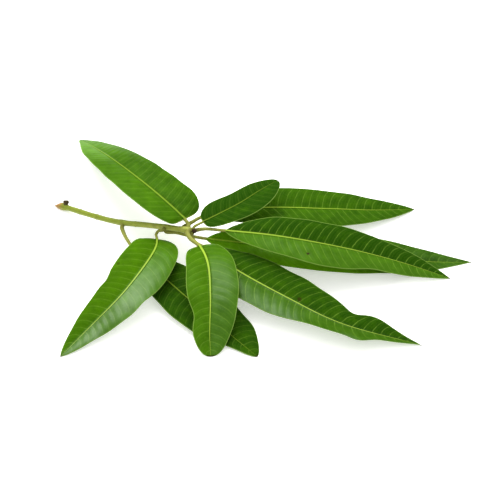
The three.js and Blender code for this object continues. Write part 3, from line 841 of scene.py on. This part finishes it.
def stub_skin():
    """A short broken shoot. The first rings climb a round that narrows a little and flares under its rim,
    which is ragged by three sines of the angle. The others go inwards and down, and hollow the top. Returns
    what twig_skin does."""
    line, run = smooth_curve(TWIG_AXIS)
    foot = frames_along(line, run, np.array([STUB["at"] * run[-1]]))[0][0]
    w, u, v = turned_frame(STUB["lean"])
    level = np.linspace(0, 1, 40)[:, None]
    angle = np.linspace(0, 2 * math.pi, 40, endpoint=False)[None, :]
    climb = np.minimum(level / STUB_RIM, 1)
    inward = np.clip((level - STUB_RIM) / (1 - STUB_RIM), 0, 1)
    ragged = 0.35 * np.sin(3 * angle) + 0.22 * np.sin(5 * angle + 1) + 0.15 * np.sin(9 * angle)
    radius = STUB["radius"] * (1 - 0.2 * climb + 0.28 * bell(climb, 0.85, 0.2)) * (1 - 0.97 * inward)
    radius = radius * (1 + 0.05 * np.sin(4 * angle + 5 * climb))
    height = STUB["length"] * climb - 0.5 * np.sin(math.pi * inward / 2)
    height = height + ragged * step(climb, 0.6, 1) * (1 - inward)
    rings = (foot + w * height[..., None] + u * (radius * np.cos(angle))[..., None]
             + v * (radius * np.sin(angle))[..., None])
    wrap = np.broadcast_to(angle * STUB["radius"], height.shape)
    place = np.stack([height + STUB_START, wrap, radius * np.sin(angle)], -1)
    ones = np.ones_like(height)
    wood = np.stack([0 * ones, step(height, 2.6, 4.2), step(height, 1.2, 2.6)], -1)
    return skin(rings), end_rows(place), end_rows(wood)


BUD_ROWS = 4


def bud_skin(rise):
    """A pointed round: the radius follows a sine that starts part of the way up, and each row of three
    scales stands out from it by a saw tooth of the height and the turn. Returns the skin and how near each
    point is to its scale's edge."""
    level = np.linspace(0, 1, 90)[:, None]
    angle = np.linspace(0, 2 * math.pi, 72, endpoint=False)[None, :]
    t = 0.15 + 0.85 * np.clip(level, 0, 0.985)
    radius = BUD["radius"] * np.sin(math.pi * t**0.7)
    row = BUD_ROWS * level
    row = row + 0.5 * np.abs(np.sin(1.5 * angle + 1.2 * np.floor(row)))
    tooth = row - np.floor(row)
    radius = radius * (1 + rise * tooth * (1 - 0.5 * level))
    w, u, v = turned_frame(BUD["direction"])
    rings = (np.array(BUD["base"]) + w * (BUD["length"] * level + 0 * angle)[..., None]
             + u * (radius * np.cos(angle))[..., None] + v * (radius * np.sin(angle))[..., None])
    return skin(rings), end_rows(tooth + 0 * radius)


def crown_offset():
    """Where the crown is in the model's frame, in millimetres: the CAD bud's box less the same plain bud
    worked out around the crown."""
    points = bud_skin(0.0)[0][0]
    lo, hi = (np.array(corner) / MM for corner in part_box("terminal_bud"))
    return (lo + hi) / 2 - (points.min(0) + points.max(0)) / 2


CROWN = crown_offset()


# ---- operators ---------------------------------------------------------------------------------------

class SPRIG_OT_leaves(bpy.types.Operator):
    """Make the nine leaves with their petioles"""

    bl_idname = "sprig.leaves"
    bl_label = "Leaves"

    def execute(self, context):
        look = context.scene.sprig.leaf
        for seed, leaf in enumerate(LEAVES, 1):
            surface, attributes = leaf_skin(leaf, seed, look)
            obj = make_mesh(leaf["name"] + "_blade", [surface], attributes)
            adopt(obj, leaf["name"], leaf_finish(leaf, seed, look))
        return {"FINISHED"}


class SPRIG_OT_twig(bpy.types.Operator):
    """Make the twig with its cut end and broken side shoot"""

    bl_idname = "sprig.twig"
    bl_label = "Twig"

    def execute(self, context):
        look = context.scene.sprig.twig
        skins = [twig_skin(look), stub_skin()]
        attributes = {"place": np.vstack([s[1] for s in skins]), "wood": np.vstack([s[2] for s in skins])}
        obj = make_mesh("twig_bark", [s[0] for s in skins], attributes)
        adopt(obj, "twig", bark_finish(look))
        return {"FINISHED"}


class SPRIG_OT_bud(bpy.types.Operator):
    """Make the resting bud at the crown"""

    bl_idname = "sprig.bud"
    bl_label = "Bud"

    def execute(self, context):
        look = context.scene.sprig.bud
        surface, edge = bud_skin(look.scale_rise)
        obj = make_mesh("terminal_bud_scales", [surface], {"edge": edge})
        adopt(obj, "terminal_bud", bud_finish(look))
        return {"FINISHED"}


CAMERA = {"aim": [51, 8, 0], "elevation": 40, "distance": 1062.5, "lens": 85}
BACK_LIGHT = {"spot": (-0.3, 1.0, 1.05), "size": 1.6}  # metres from the point aimed at
SHEEN_PANEL = {"spot": (-0.2, 0.5, 1.1), "size": 0.85}
FLOOR_HALF = 3.0  # half the table's width, in metres
FLOOR_DROP = 0.1 * MM  # the table lies this far under the sprig


class SPRIG_OT_stage(bpy.types.Operator):
    """Make the pale floor, the soft lights and the camera"""

    bl_idname = "sprig.stage"
    bl_label = "Stage"

    def execute(self, context):
        look = context.scene.sprig.stage
        aim = (np.array(CAMERA["aim"]) + CROWN) * MM
        tilt = math.radians(CAMERA["elevation"])
        camera = bpy.data.objects.new("camera", bpy.data.cameras.new("camera"))
        camera.data.lens = CAMERA["lens"]
        camera.location = aim + CAMERA["distance"] * MM * np.array([0, -math.cos(tilt), math.sin(tilt)])
        camera.rotation_euler = (math.pi / 2 - tilt, 0, 0)
        context.scene.collection.objects.link(camera)
        context.scene.camera = camera

        def lamp(name, place, power, mirrored):
            """A round lamp that either is mirrored by the leaves or lights them."""
            spot = Vector(place["spot"])
            light = bpy.data.lights.new(name, "AREA")
            light.shape = "DISK"
            light.size = place["size"]
            light.energy = power
            obj = bpy.data.objects.new(name, light)
            obj.location = Vector(aim) + spot
            obj.rotation_euler = spot.to_track_quat("Z", "Y").to_euler()
            obj.visible_glossy = mirrored
            obj.visible_diffuse = not mirrored
            context.scene.collection.objects.link(obj)

        lamp("back_light", BACK_LIGHT, look.key, False)
        lamp("sheen_panel", SHEEN_PANEL, look.sheen, True)

        signs = [(-1, -1), (1, -1), (1, 1), (-1, 1)]
        corners = [(x * FLOOR_HALF, y * FLOOR_HALF, -FLOOR_DROP) for x, y in signs]
        mesh = bpy.data.meshes.new("floor")
        mesh.from_pydata(corners, [], [(0, 1, 2, 3)])
        floor = bpy.data.objects.new("floor", mesh)
        f = Finish("pale_table")
        mottle = f.noise(f.object_place(), 3.0, 2)
        base = f.mix(f.scaled(mottle, 0.3, 0.7, 0.0, 0.03), look.floor, PAPER)
        f.put(f.shader.inputs["Emission Color"], look.floor)
        mesh.materials.append(f.finish(base, 0.9, 0.0, Specular_IOR_Level=0.0, Emission_Strength=look.glow))
        context.scene.collection.objects.link(floor)

        world = bpy.data.worlds.new("surroundings")
        world.use_nodes = True
        background = world.node_tree.nodes["Background"]
        background.inputs["Color"].default_value = (1, 1, 1, 1)
        background.inputs["Strength"].default_value = look.sky
        context.scene.world = world
        world.cycles_visibility.glossy = False
        context.scene.view_settings.view_transform = "Standard"
        return {"FINISHED"}


class SPRIG_PT_panel(bpy.types.Panel):
    """Buttons and settings of the sprig"""

    bl_label = "Mango sprig"
    bl_idname = "SPRIG_PT_panel"
    bl_space_type = "VIEW_3D"
    bl_region_type = "UI"
    bl_category = "Sprig"

    def draw(self, context):
        settings = context.scene.sprig
        for key, operator in PIECES:
            box = self.layout.box()
            box.operator(operator.bl_idname)
            group = getattr(settings, key)
            for name in group.__annotations__:
                box.prop(group, name)


PIECES = [("leaf", SPRIG_OT_leaves), ("twig", SPRIG_OT_twig), ("bud", SPRIG_OT_bud),
          ("stage", SPRIG_OT_stage)]
CLASSES = [LeafSettings, TwigSettings, BudSettings, StageSettings, SprigSettings,
           SPRIG_OT_leaves, SPRIG_OT_twig, SPRIG_OT_bud, SPRIG_OT_stage, SPRIG_PT_panel]


def register():
    for item in CLASSES:
        bpy.utils.register_class(item)
    bpy.types.Scene.sprig = PointerProperty(type=SprigSettings)


def unregister():
    del bpy.types.Scene.sprig
    for item in reversed(CLASSES):
        bpy.utils.unregister_class(item)


def main():
    register()
    bpy.ops.sprig.stage()
    bpy.ops.sprig.twig()
    bpy.ops.sprig.bud()
    bpy.ops.sprig.leaves()


if __name__ == "__main__":
    main()
